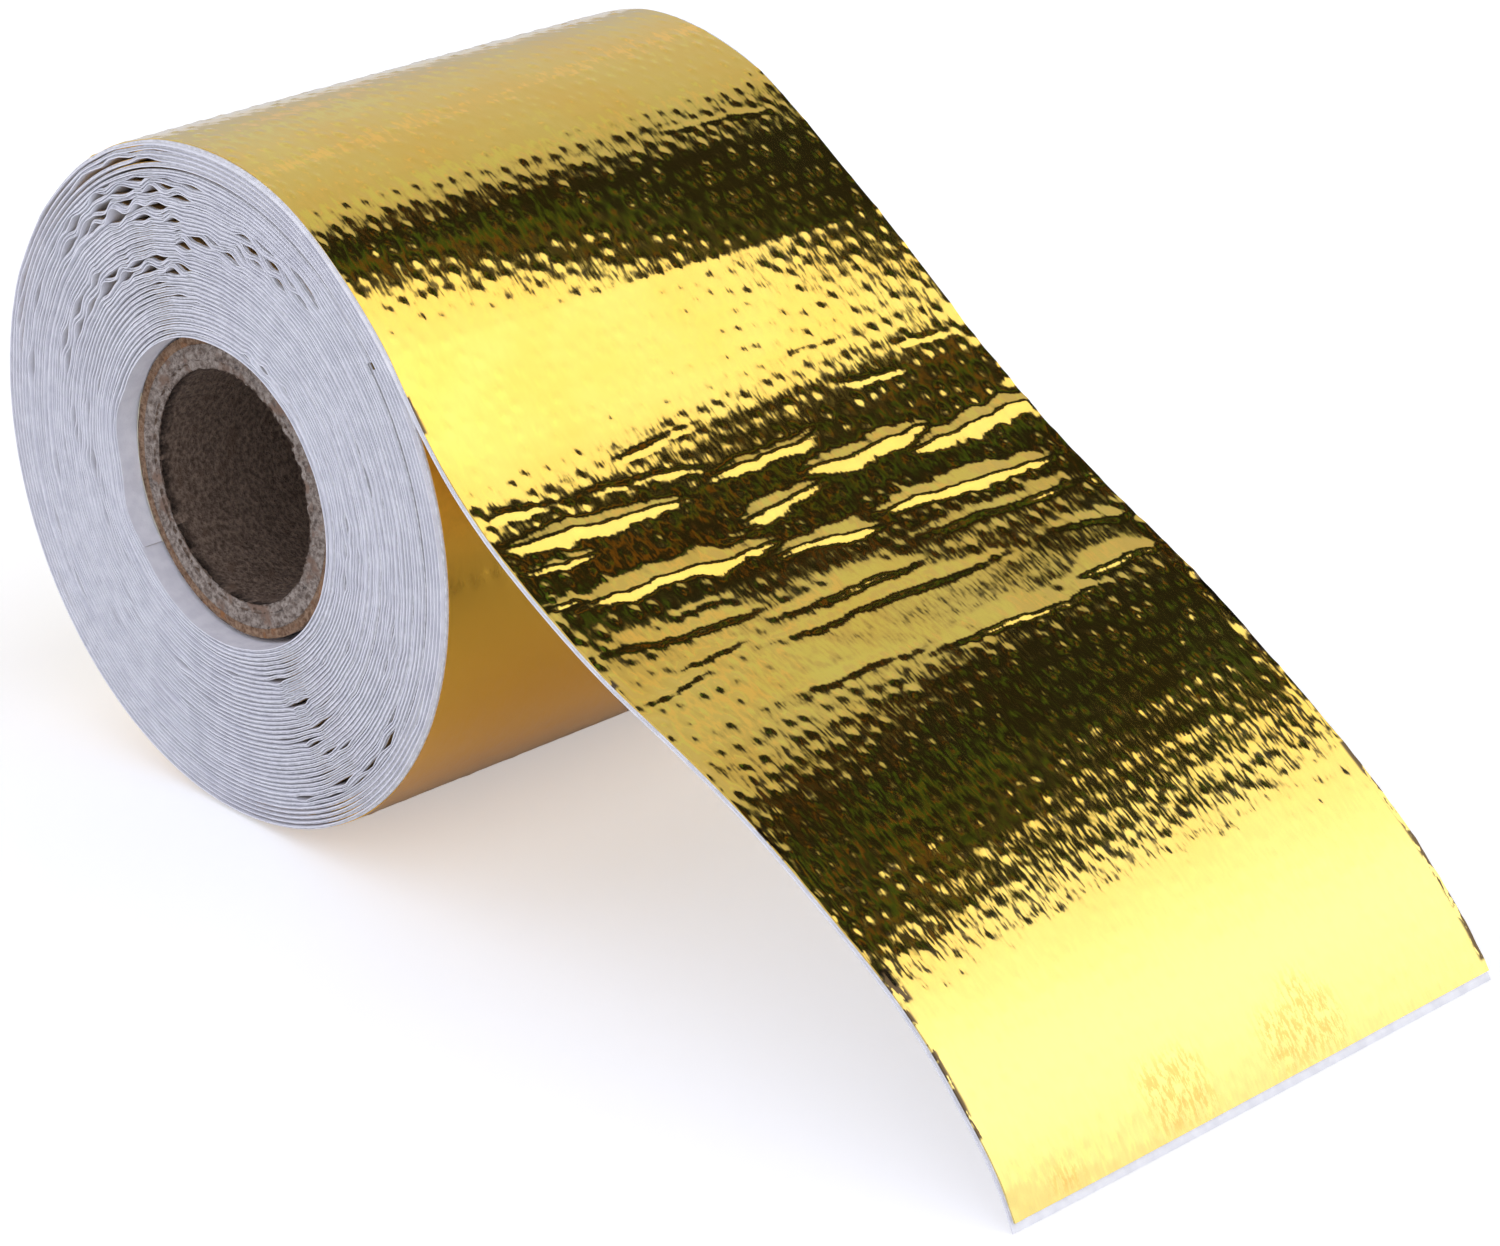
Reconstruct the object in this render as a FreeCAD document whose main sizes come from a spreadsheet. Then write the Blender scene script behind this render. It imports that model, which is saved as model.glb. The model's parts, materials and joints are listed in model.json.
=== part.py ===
import FreeCAD, Part
import math
import os

import Sketcher

# A roll of gold metallised glass-cloth tape on a paperboard core, with its free end pulled out.
# Frame: origin on the core's axis at the middle of the tape's width. +Y runs along the core,
# +X the way the free end points and +Z up. The roll and the free end's tip stand on one surface.
# Millimetres and degrees. Angles on the roll are measured from +X towards +Z.

DIMENSIONS = {
    # tape, from its gold face inwards
    "film_width": 49.4,
    "liner_width": 50.0,
    "film_thickness": 0.04,
    "cloth_thickness": 0.14,
    "adhesive_thickness": 0.05,
    "release_gap": 0.015,
    "liner_thickness": 0.085,
    "liner_overhang": 1.0,
    # winding
    "roll_radius": 27.15,
    "turn_pitch": 0.355,
    "coil_half_turns": 71,
    "wrap_half_turns": 10,
    "coil_clearance": 0.13,
    # core and its glue strip
    "core_bore_radius": 9.2,
    "core_inner_ply_radius": 10.0,
    "core_middle_ply_radius": 11.2,
    "core_outer_radius": 12.0,
    "core_length": 48.0,
    "core_back": 24.7,
    "glue_thickness": 0.1,
    "glue_arc": 60,
    # free end: leaves the roll, bends up, runs straight, then droops to the surface
    "leave_angle": 38,
    "rise_radius": 50.0,
    "run_slope": 26,
    "run_length": 21.3,
    "tip_slope": 49,
    # where the tape flexes
    "stub_length": 10.5,
    "lift_split": 0.35,
    "peel_length": 25.0,
    "peel_split": 0.1,
}

LAYERS = ("film", "cloth", "adhesive", "liner")


def make_sheet(doc):
    """The driving dimensions, one row each: name, value and an alias."""
    sheet = doc.addObject("Spreadsheet::Sheet", "dims")
    for row, (name, value) in enumerate(DIMENSIONS.items(), start=1):
        sheet.set(f"A{row}", name)
        sheet.set(f"B{row}", str(value))
        sheet.setAlias(f"B{row}", name)
    doc.recompute()
    return sheet


# ---- The tape's line in the XZ plane ------------------------------------------------------
# A path is a list of stretches, each (x, z, heading, length, radius). It follows the film's
# outer face, and the rest of the tape lies on its right. radius is positive where it turns
# right, as it does round the roll, negative where it turns left, and 0 where it is straight.


def right_normal(heading):
    """The direction from the film towards the liner."""
    return math.sin(heading), -math.cos(heading)


def walk(stretch, distance):
    """Point and heading at a distance along one stretch."""
    x, z, heading, _, radius = stretch
    if radius == 0:
        return x + distance * math.cos(heading), z + distance * math.sin(heading), heading
    nx, nz = right_normal(heading)
    new_heading = heading - distance / radius
    new_nx, new_nz = right_normal(new_heading)
    return x + radius * (nx - new_nx), z + radius * (nz - new_nz), new_heading


def chain(x, z, heading, runs):
    """Stretches laid end to end and tangent, from (length, radius) pairs."""
    path = []
    for length, radius in runs:
        stretch = (x, z, heading, length, radius)
        path.append(stretch)
        x, z, heading = walk(stretch, length)
    return path


def cut_path(path, start, end):
    """The part of a path between two distances along it."""
    pieces = []
    done = 0.0
    for stretch in path:
        length, radius = stretch[3:]
        first = max(start - done, 0.0)
        last = min(end - done, length)
        if last - first > 1e-6:
            pieces.append((*walk(stretch, first), last - first, radius))
        done += length
    return pieces


def path_length(path):
    return sum(stretch[3] for stretch in path)


def offset_point(stretch, distance, depth, y):
    x, z, heading = walk(stretch, distance)
    nx, nz = right_normal(heading)
    return FreeCAD.Vector(x + depth * nx, y, z + depth * nz)


def offset_edge(stretch, depth, y):
    """One line or arc, moved from the film's face towards the liner by depth."""
    length, radius = stretch[3:]
    start, middle, end = (offset_point(stretch, length * share, depth, y) for share in (0, 0.5, 1))
    if radius == 0:
        return Part.LineSegment(start, end).toShape()
    return Part.Arc(start, middle, end).toShape()


def layer_face(path, top, bottom, y):
    """The cross-section of one layer of the tape, between two depths under the film's face."""
    upper = [offset_edge(stretch, top, y) for stretch in path]
    lower = [offset_edge(stretch, bottom, y) for stretch in reversed(path)]
    ends = [
        Part.LineSegment(offset_point(path[-1], path[-1][3], top, y),
                         offset_point(path[-1], path[-1][3], bottom, y)).toShape(),
        Part.LineSegment(offset_point(path[0], 0, bottom, y),
                         offset_point(path[0], 0, top, y)).toShape(),
    ]
    wire = Part.Wire(Part.__sortEdges__(upper + [ends[0]] + lower + [ends[1]]))
    return Part.Face(wire)


# ---- Paths of the coil and of the outer turn with the free end ----------------------------


def tape_thickness(sheet):
    return (sheet.film_thickness + sheet.cloth_thickness + sheet.adhesive_thickness
            + sheet.release_gap + sheet.liner_thickness)


def surface_height(sheet):
    """The surface that the roll stands on: the lowest point of its last turn."""
    half_pitch = sheet.turn_pitch / 2
    return -half_pitch * math.sin(math.radians(sheet.leave_angle)) - (sheet.roll_radius - half_pitch)


def winding(sheet, outer_radius, half_turns):
    """Half turns that end at leave_angle on outer_radius, as a start point, a heading and runs.

    Each is half a pitch wider than the last. Their centres alternate between the axis and a point
    half a pitch from it, so that they meet tangent.
    """
    half_pitch = sheet.turn_pitch / 2
    radii = [outer_radius - half_pitch * step for step in reversed(range(half_turns))]
    start_radius = radii[0] if half_turns % 2 else radii[0] - half_pitch
    start = math.radians(sheet.leave_angle + 180 * half_turns)
    runs = [(math.pi * radius, radius) for radius in radii]
    return start_radius * math.cos(start), start_radius * math.sin(start), start - math.pi / 2, runs


def coil_path(sheet):
    """The turns that go round with the core, just clear of the outer turns."""
    outer_turns = sheet.turn_pitch * sheet.wrap_half_turns / 2
    radius = sheet.roll_radius - outer_turns - tape_thickness(sheet) - sheet.coil_clearance
    return chain(*winding(sheet, radius, int(sheet.coil_half_turns)))


def outer_path(sheet):
    """The outer turns of the roll, then the free end down to the surface."""
    leave_slope = math.radians(90 - sheet.leave_angle)
    run_slope = math.radians(sheet.run_slope)
    tip_slope = math.radians(sheet.tip_slope)
    x, z, heading, runs = winding(sheet, sheet.roll_radius, int(sheet.wrap_half_turns))
    runs.append((sheet.rise_radius * (leave_slope - run_slope), -sheet.rise_radius))
    runs.append((sheet.run_length, 0))
    path = chain(x, z, heading, runs)
    # The droop's radius brings the liner's lower corner down exactly to the surface.
    x, z, heading = walk(path[-1], sheet.run_length)
    drop = z - surface_height(sheet) - tape_thickness(sheet) * math.cos(tip_slope)
    droop_radius = drop / (math.cos(run_slope) - math.cos(tip_slope))
    droop = [(droop_radius * (tip_slope - run_slope), droop_radius)]
    return path + chain(x, z, heading, droop)


# ---- Nodes --------------------------------------------------------------------------------


def layer_depths(sheet):
    """Top and bottom of each layer, measured from the film's face."""
    cloth = sheet.film_thickness
    adhesive = cloth + sheet.cloth_thickness
    release = adhesive + sheet.adhesive_thickness
    liner = release + sheet.release_gap
    return {
        "film": (0.0, cloth),
        "cloth": (cloth, adhesive),
        "adhesive": (adhesive, release),
        "liner": (liner, liner + sheet.liner_thickness),
    }


def make_layer(doc, sheet, name, path):
    """One layer along a path, as a face swept straight across the tape's width."""
    layer = name.split("_")[1]
    width_name = "liner_width" if layer == "liner" else "film_width"
    top, bottom = layer_depths(sheet)[layer]
    profile = doc.addObject("Part::Feature", name + "_profile")
    profile.Shape = layer_face(path, top, bottom, -getattr(sheet, width_name) / 2)
    body = doc.addObject("Part::Extrusion", name)
    body.Label = name
    body.Base = profile
    body.DirMode = "Custom"
    body.Dir = FreeCAD.Vector(0, 1, 0)
    body.Solid = True
    body.setExpression("LengthFwd", "dims." + width_name)
    return body


def make_ply(doc, sheet, name, inner, outer):
    """One board ply of the core: a ring sketched across the axis and padded to its length."""
    body = doc.addObject("PartDesign::Body", name)
    body.Label = name
    plane = next(feature for feature in body.Origin.OriginFeatures if feature.Role == "XZ_Plane")
    sketch = body.newObject("Sketcher::SketchObject", name + "_ring")
    sketch.AttachmentSupport = [(plane, "")]
    sketch.MapMode = "FlatFace"
    sketch.setExpression("AttachmentOffset.Base.z", "-dims.core_back")
    centre = FreeCAD.Vector(0, 0, 0)
    normal = FreeCAD.Vector(0, 0, 1)
    for index, alias in enumerate((inner, outer)):
        size = getattr(sheet, alias)
        circle = sketch.addGeometry(Part.Circle(centre, normal, size), False)
        sketch.addConstraint(Sketcher.Constraint("Coincident", circle, 3, -1, 1))
        radius = sketch.addConstraint(Sketcher.Constraint("Radius", circle, size))
        sketch.renameConstraint(radius, ("inner_radius", "outer_radius")[index])
    sketch.setExpression("Constraints.inner_radius", "dims." + inner)
    sketch.setExpression("Constraints.outer_radius", "dims." + outer)
    pad = body.newObject("PartDesign::Pad", name + "_tube")
    pad.Profile = sketch
    pad.setExpression("Length", "dims.core_length")
    body.Tip = pad
    return body


def make_glue_strip(doc, sheet):
    """A thin strip on the core, under the start of the first turn."""
    start_angle = sheet.leave_angle + 180 * sheet.coil_half_turns
    turn = FreeCAD.Rotation(FreeCAD.Vector(0, 1, 0), -start_angle)
    lie_down = FreeCAD.Rotation(FreeCAD.Vector(1, 0, 0), -90)
    sizes = {
        "core_glue_outer": "dims.core_outer_radius + dims.glue_thickness",
        "core_glue_inner": "dims.core_outer_radius",
    }
    cylinders = []
    for name, radius in sizes.items():
        cylinder = doc.addObject("Part::Cylinder", name)
        cylinder.setExpression("Radius", radius)
        cylinder.setExpression("Height", "dims.core_length")
        cylinder.Placement = FreeCAD.Placement(FreeCAD.Vector(0, 0, 0), turn * lie_down)
        cylinder.setExpression("Placement.Base.y", "dims.core_back - dims.core_length")
        cylinders.append(cylinder)
    cylinders[0].setExpression("Angle", "dims.glue_arc")
    strip = doc.addObject("Part::Cut", "core_glue_strip")
    strip.Label = "core_glue_strip"
    strip.Base, strip.Tool = cylinders
    return strip


def make_nodes(doc, sheet):
    nodes = []
    radii = ("core_bore_radius", "core_inner_ply_radius", "core_middle_ply_radius", "core_outer_radius")
    for index, name in enumerate(("core_inner_ply", "core_middle_ply", "core_outer_ply")):
        nodes.append(make_ply(doc, sheet, name, radii[index], radii[index + 1]))
    nodes.append(make_glue_strip(doc, sheet))

    spiral = coil_path(sheet)
    outer = outer_path(sheet)
    stub_end = path_length(outer[:int(sheet.wrap_half_turns)]) + sheet.stub_length
    liner_end = path_length(outer)
    film_end = liner_end - sheet.liner_overhang
    peel = film_end - sheet.peel_length
    spans = {
        "wrap": cut_path(outer, 0, stub_end),
        "tail": cut_path(outer, stub_end + sheet.lift_split, peel),
        "tail_liner": cut_path(outer, stub_end + sheet.lift_split, liner_end),
        "tip": cut_path(outer, peel + sheet.peel_split, film_end),
    }
    for layer in LAYERS:
        nodes.append(make_layer(doc, sheet, "coil_" + layer, spiral))
        nodes.append(make_layer(doc, sheet, "wrap_" + layer, spans["wrap"]))
        nodes.append(make_layer(doc, sheet, "tail_" + layer, spans.get("tail_" + layer, spans["tail"])))
        if layer != "liner":
            nodes.append(make_layer(doc, sheet, "tip_" + layer, spans["tip"]))
    print_layout(sheet, spiral, outer, stub_end, peel)
    return nodes


def print_layout(sheet, spiral, outer, stub_end, peel):
    """The tape's length and where it flexes, on the film's face."""
    print("tape on the roll", round(path_length(spiral) + path_length(outer), 1))
    print("surface height", round(surface_height(sheet), 4))
    for name, distance in (("lift axis", stub_end), ("peel axis", peel), ("end", path_length(outer))):
        last = cut_path(outer, 0, distance)[-1]
        x, z, heading = walk(last, last[3])
        print(name, round(x, 4), round(z, 4), "slope", round(math.degrees(heading) % 360, 2))
    print("first turn inside radius", round(spiral[0][4] - tape_thickness(sheet), 3))


def check_and_export(doc, nodes):
    doc.recompute()
    for item in doc.Objects:
        if "Invalid" in item.State or "Error" in item.State:
            raise RuntimeError(f"{item.Label} failed: {item.State}")
    for node in nodes:
        if node.Shape.isNull() or not node.Shape.isValid():
            raise RuntimeError(f"{node.Label} has no valid shape")
    os.makedirs("parts", exist_ok=True)
    for node in nodes:
        node.Shape.exportStep(f"parts/{node.Label}.step")
        print(node.Label, "solids", len(node.Shape.Solids), "volume", round(node.Shape.Volume, 2))


def main():
    doc = FreeCAD.newDocument("tape_roll")
    sheet = make_sheet(doc)
    check_and_export(doc, make_nodes(doc, sheet))


main()
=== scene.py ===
import json
import math

import bpy
import numpy as np
from mathutils import Matrix, Vector


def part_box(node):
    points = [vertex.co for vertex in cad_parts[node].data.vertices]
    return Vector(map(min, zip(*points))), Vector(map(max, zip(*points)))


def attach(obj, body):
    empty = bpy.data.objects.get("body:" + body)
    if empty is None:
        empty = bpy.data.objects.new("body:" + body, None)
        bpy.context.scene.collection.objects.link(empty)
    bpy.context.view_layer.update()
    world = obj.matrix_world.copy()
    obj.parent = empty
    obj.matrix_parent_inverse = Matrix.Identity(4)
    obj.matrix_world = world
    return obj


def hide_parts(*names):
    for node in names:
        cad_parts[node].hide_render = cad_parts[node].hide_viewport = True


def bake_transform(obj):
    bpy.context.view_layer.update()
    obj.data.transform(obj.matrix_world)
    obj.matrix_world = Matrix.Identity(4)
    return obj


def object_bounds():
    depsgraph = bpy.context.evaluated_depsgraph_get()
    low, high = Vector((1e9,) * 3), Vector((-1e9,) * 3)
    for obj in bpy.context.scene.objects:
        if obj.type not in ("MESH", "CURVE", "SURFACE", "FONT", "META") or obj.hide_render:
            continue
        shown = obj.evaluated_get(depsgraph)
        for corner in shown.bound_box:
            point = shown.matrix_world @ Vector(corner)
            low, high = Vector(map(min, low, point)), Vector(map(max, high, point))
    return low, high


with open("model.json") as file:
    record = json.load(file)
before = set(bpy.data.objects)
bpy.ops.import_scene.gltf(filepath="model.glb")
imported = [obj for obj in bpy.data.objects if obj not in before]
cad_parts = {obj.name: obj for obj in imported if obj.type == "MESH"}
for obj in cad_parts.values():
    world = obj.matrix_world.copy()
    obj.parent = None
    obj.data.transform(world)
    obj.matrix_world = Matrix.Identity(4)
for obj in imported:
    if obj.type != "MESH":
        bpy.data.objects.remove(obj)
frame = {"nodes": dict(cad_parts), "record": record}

# A roll of gold metallised glass-cloth tape with its free end pulled out. Lengths in the functions
# are millimetres, angles in tables are degrees, and meshes are scaled to metres as they are made.
# s is the distance along the tape from where it leaves the roll: negative on the roll, positive on
# the free end. y is the place across the tape. phi is an angle round the roll, from +X towards +Z.

MM = 0.001
RNG = np.random.default_rng(11)

# ---- Sizes from the frame -----------------------------------------------------------------

CAD_LOW, CAD_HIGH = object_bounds()


def half_width(node):
    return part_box(node)[1].y / MM


def outer_radius(node):
    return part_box(node)[1].z / MM


FILM_HALF = half_width("wrap_film")
LINER_HALF = half_width("wrap_liner")
ROLL_RADIUS = -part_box("wrap_film")[0].x / MM
SURFACE = CAD_LOW.z / MM
BORE_RADIUS, INNER_PLY_RADIUS, MIDDLE_PLY_RADIUS, CORE_RADIUS = (
    frame["record"]["mounts"][0]["dims"]["r_mm"],
    outer_radius("core_inner_ply"),
    outer_radius("core_middle_ply"),
    outer_radius("core_outer_ply"),
)
CORE_FRONT, CORE_BACK = (corner.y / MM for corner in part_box("core_outer_ply"))
LEAVE_ANGLE = math.radians(38)
WRAP_TURNS = 5
COIL_TURNS = 35.5
WRAP_PITCH = 0.355          # from one outer turn to the next, which are wound a little loose

# Thickness of each layer, from the gold face inwards. The release gap is between adhesive and liner.
FILM, CLOTH, ADHESIVE, RELEASE, LINER = 0.04, 0.14, 0.05, 0.015, 0.085
TAPE = FILM + CLOTH + ADHESIVE + RELEASE + LINER
LAYER_DEPTHS = {
    "film": (0.0, FILM),
    "cloth": (FILM, FILM + CLOTH),
    "adhesive": (FILM + CLOTH, FILM + CLOTH + ADHESIVE),
    "liner": (TAPE - LINER, TAPE),
}
COIL_SQUEEZE = 0.955        # the wound turns are pressed a little thinner

# ---- Small helpers ------------------------------------------------------------------------


def smooth_step(x, low, high):
    t = np.clip((x - low) / (high - low), 0, 1)
    return t * t * (3 - 2 * t)


def eased(knots, softness):
    """A smooth curve near (distance, value) knots, as a function of distance."""
    at, value = np.array(knots, float).T
    step = 0.05
    reach = 5 * softness
    fine = np.arange(at[0] - reach, at[-1] + reach, step)
    before = value[0] + (value[1] - value[0]) / (at[1] - at[0]) * (fine - at[0])
    after = value[-1] + (value[-1] - value[-2]) / (at[-1] - at[-2]) * (fine - at[-1])
    line = np.where(fine < at[0], before, np.where(fine > at[-1], after, np.interp(fine, at, value)))
    kernel = np.exp(-0.5 * (np.arange(-4 * softness, 4 * softness + step / 2, step) / softness) ** 2)
    padded = np.pad(line, len(kernel) // 2, mode="reflect", reflect_type="odd")
    smooth = np.convolve(padded, kernel / kernel.sum(), "valid")[:len(fine)]
    return lambda distance: np.interp(distance, fine, smooth)


def value_noise(u, v, seed):
    """Smooth noise from -1 to 1 that changes about once a unit of u and v."""
    table = np.random.default_rng(seed).uniform(-1, 1, (64, 64))
    u0, v0 = np.floor(u).astype(int), np.floor(v).astype(int)
    fu, fv = u - u0, v - v0
    fu, fv = fu * fu * (3 - 2 * fu), fv * fv * (3 - 2 * fv)
    rows = [table[(u0 + i) % 64, v0 % 64] * (1 - fv) + table[(u0 + i) % 64, (v0 + 1) % 64] * fv
            for i in (0, 1)]
    return rows[0] * (1 - fu) + rows[1] * fu


def angle_from(phi, centre):
    """Degrees from one direction round the roll to another, from -180 to 180."""
    return (phi - centre + 180) % 360 - 180


def lens(phi, centre, half):
    """A pointed hump round one direction, 1 at its middle."""
    x = np.clip(np.abs(angle_from(phi, centre)) / half, 0, 1)
    return (1 - x * x) ** 2


# ---- The tape's line ----------------------------------------------------------------------

FREE_LENGTH = 77.6
PEEL_AT = FREE_LENGTH - 26.0
LINER_OVERHANG = 0.7
# Slope of the free end below level at its two edges. The near edge dips close to the roll.
near_slope = eased([(0, 51.7), (4, 50.8), (8, 48), (11, 40.5), (14, 36.5), (18, 31), (26, 26.5),
                    (29, 23.5), (32.5, 19.5), (37, 22), (41, 22.8), (45, 26.8), (49, 29.4), (57, 31),
                    (60.5, 35), (64, 43), (68, 46.8), (72, 48), (74.5, 60), (FREE_LENGTH, 66)], 1.2)
far_slope = eased([(0, 36), (3, 35.8), (6, 37.6), (11, 37.2), (14, 34), (22, 31.4), (28, 27),
                   (36, 25.8), (40, 28.8), (44, 30.6), (52, 32.5), (57, 33.6), (64, 40.4), (72, 46.8),
                   (FREE_LENGTH, 54)], 1.2)
# How far the outer face stands out from the round roll, at the two edges of the tape. The roll is
# oval at its far end.
near_rise = eased([(-172, -0.1), (-168, 0), (-24, 0), (-18, 0.14), (-14, 0.12), (-8, -0.22),
                   (-4, -0.28), (0, -0.1), (2, 0)], 1.2)
far_rise = eased([(-173, -1.0), (-170.6, -0.3), (-165, 0.6), (-158, 1.05), (-147, 1.1), (-131, 0.6),
                  (-114, 0.05), (-98, 0), (-77, 0.2), (-58, 0.8), (-46, 1.3), (-30, 0.6), (-20, -0.7),
                  (-15.5, -1.2), (-12.4, -1.72), (-8.3, -1.84), (-6, -1.74), (-3.7, -1.42), (-1.4, -0.9),
                  (0, -0.45), (3, 0.6)], 1.2)
LINE_STEP = 0.05
DISTANCES = np.arange(0, 90, LINE_STEP)


def free_line(slope_of, rise):
    """Positions and slope along one edge of the free end, which starts at the roll."""
    slope = np.radians(slope_of(DISTANCES))
    start = ROLL_RADIUS + rise
    run, drop = ((wave[1:] + wave[:-1]) * (LINE_STEP / 2) for wave in (np.cos(slope), np.sin(slope)))
    x = start * math.cos(LEAVE_ANGLE) + np.concatenate([[0], np.cumsum(run)])
    z = start * math.sin(LEAVE_ANGLE) - np.concatenate([[0], np.cumsum(drop)])
    return x, z, slope


NEAR_LINE = free_line(near_slope, float(near_rise(0)))
FAR_LINE = free_line(far_slope, float(far_rise(0)))
# The far corner of the liner rests on the surface.
_, _far_z, _far_turn = (np.interp(FREE_LENGTH, DISTANCES, column) for column in FAR_LINE)
TIP_LIFT = SURFACE - _far_z + TAPE * math.cos(_far_turn)


def across(y):
    """0 at the near edge of the tape and 1 at its far edge."""
    return np.clip((y + LINER_HALF) / (2 * LINER_HALF), 0, 1) ** 0.8


def edge_rise(s, y):
    return near_rise(s) + (far_rise(s) - near_rise(s)) * across(y)


def coil_radius(y):
    """Outside of the turns that go round with the core: smaller at the far end."""
    return 24.95 - 1.4 * across(y)


def laps(past_end, least):
    """Turns that a round boundary has room for, at an angle past the end of the winding."""
    share = np.mod(past_end, 360) / 360
    return least + share + 1 - smooth_step(share, 0, 0.3)


def turn_angle(s):
    """Angle travelled back round the roll, for a distance s below 0."""
    back = np.maximum(-s, 0)
    gone = ROLL_RADIUS - np.sqrt(ROLL_RADIUS**2 - WRAP_PITCH * back / math.pi)
    return gone * 2 * math.pi / WRAP_PITCH


# Places where the outer turns are buckled apart at the near end: the turn under the gap, direction,
# half width and height.
OUTER_GAPS = [(3, 124, 6, 0.3), (3, 114, 5, 0.32), (4, 105, 5, 0.3), (2, 156, 6, 0.22), (3, 162, 6, 0.26),
              (4, 166, 5, 0.2), (1, 140, 4, 0.08), (2, 101, 5, 0.1), (3, 335, 5, 0.2), (3, 215, 5, 0.15)]


def outer_turn_radius(turn, y):
    """Radius of the outer face, for an angle travelled back round the roll and a place across."""
    count = turn / (2 * math.pi)
    within = np.mod(turn, 2 * math.pi)
    phi = np.degrees(LEAVE_ANGLE + turn) % 360
    outside = ROLL_RADIUS + edge_rise(-within * ROLL_RADIUS, y)
    inside = coil_radius(y) + 0.04 + TAPE
    room = laps(np.degrees(turn), WRAP_TURNS - 1)
    pitch = np.maximum(TAPE + 0.004, (outside - inside) / room)
    radius = outside - pitch * count
    fade = smooth_step(y, 0, -LINER_HALF)
    for under, centre, half, height in OUTER_GAPS:
        above = under - 1 - np.floor(count + 1e-9)
        push = np.where(above >= 0, np.exp(-np.maximum(above, 0)), 0)
        radius = radius + push * height * lens(phi, centre, half) * fade
    return radius


def tape_point(s, y, depth):
    """Points at a depth under the gold face, as x and z arrays for arrays s and y."""
    turn = turn_angle(s)
    phi = LEAVE_ANGLE + turn
    radius = outer_turn_radius(turn, y) - depth
    free = np.clip(s, 0, None)
    near, far = ([np.interp(free, DISTANCES, column) for column in line] for line in (NEAR_LINE, FAR_LINE))
    free_x, free_z, slope = (a + (b - a) * across(y) for a, b in zip(near, far))
    free_x = free_x - depth * np.sin(slope)
    free_z = free_z + TIP_LIFT * smooth_step(free, 10, FREE_LENGTH) - depth * np.cos(slope)
    on_roll = s < 0
    return (np.where(on_roll, radius * np.cos(phi), free_x),
            np.where(on_roll, radius * np.sin(phi), free_z))


# ---- Relief of the gold face --------------------------------------------------------------

# Buckles across the tape, each a tent with smooth ends: start and end as (s, y), height, and the
# widths of its uphill and downhill sides.
BUCKLES = [
    ((13.2, -25.5), (14.9, -16), 0.08, 0.4, 0.6),
    ((14.0, -17), (16.0, -3.5), 0.07, 0.4, 0.5),
    ((15.9, -26), (17.9, -6.5), 0.2, 1.0, 1.7),
    ((16.7, -7), (16.2, 7.5), 0.15, 0.8, 1.4),
    ((19.1, 0.5), (18.9, 16.5), 0.26, 1.2, 2.0),
    ((20.7, 10.5), (19.8, 27), 0.28, 1.3, 2.2),
    ((18.1, -25.5), (19.3, -17), 0.1, 0.6, 0.6),
    ((21.5, -25.5), (22.7, -19.5), 0.1, 0.6, 0.6),
    ((21.2, -6.5), (20.0, 3.5), 0.2, 1.1, 1.5),
    ((22.0, -9.5), (22.2, -3.5), 0.1, 0.6, 0.6),
    ((22.6, -25.5), (23.8, -2.5), 0.24, 1.6, 1.3),
    ((24.5, -6.5), (25.8, 5.5), 0.19, 1.3, 0.9),
    ((24.2, 3), (25.4, 25.5), 0.24, 1.5, 1.4),
    ((27.3, 4), (28.4, 25.5), 0.1, 1.4, 0.9),
    ((26.2, -17), (26.5, -11), 0.06, 0.5, 0.5),
    ((27.0, -25.5), (28.6, -8), 0.1, 1.4, 0.9),
    ((29.3, -11), (29.8, 6.5), 0.12, 1.6, 0.9),
    ((30.6, -20.5), (30.1, -12), 0.09, 0.9, 0.7),
    ((31.3, -15), (31.9, 14.5), 0.1, 1.4, 0.9),
    ((31.4, 16), (33.0, 26), 0.09, 1.2, 0.9),
    ((32.2, -25), (31.6, -17), 0.13, 0.9, 0.7),
    ((36.0, 14), (36.5, 26), 0.12, 1.6, 0.7),
    ((36.0, -15.5), (36.7, -0.5), 0.06, 1.2, 0.7),
    ((37.2, -3), (37.8, 19.5), 0.13, 2.0, 0.65),
    ((13.0, -12.8), (12.0, -2.2), 0.08, 0.45, 0.45),
    ((9.6, 6.5), (9.8, 14), 0.05, 0.4, 0.4),
    ((13.1, 9.5), (13.7, 18), 0.08, 0.5, 0.6),
    ((11.5, 16.5), (12.0, 24), 0.07, 0.4, 0.5),
    ((-12.4, 9), (-12.0, 25), 0.05, 0.8, 0.5),
]
DOT_PITCH = 1.65


def buckle_relief(s, y):
    """Height of the buckles, and how much of the weave they stretch smooth."""
    height = np.zeros_like(s)
    smooth = np.zeros_like(s)
    for index, ((s0, y0), (s1, y1), tall, up, down) in enumerate(BUCKLES):
        share = (y - y0) / (y1 - y0)
        wobble = 0.3 * value_noise(y / 3.1, np.zeros_like(y) + index * 3.7, 21)
        wobble += 0.14 * value_noise(y / 0.8, np.zeros_like(y) + index * 3.7, 22)
        centre = s0 + (s1 - s0) * share + wobble
        ends = smooth_step(share, 0, 0.3) * smooth_step(share, 1, 0.7)
        ends = ends * (0.85 + 0.4 * value_noise(y / 2.1, np.zeros_like(y) + index * 5.1, 23))
        away = (s - centre) / (0.12 + 0.88 * ends)
        narrow = 0.62 + 0.2 * value_noise(y / 2.6, np.zeros_like(y) + index * 4.3, 24)
        narrow = narrow + 0.16 * value_noise(y / 0.7, s / 1.3 + index * 4.3, 25)
        tent = np.clip(1 + np.where(away < 0, away / up, -away / (down * narrow)), 0, 1)
        height = np.maximum(height, 0.85 * tall * ends * tent)
        smooth = np.maximum(smooth, smooth_step(ends * np.clip(tent * 4, 0, 1), 0.2, 0.8))
    return height, smooth


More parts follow.
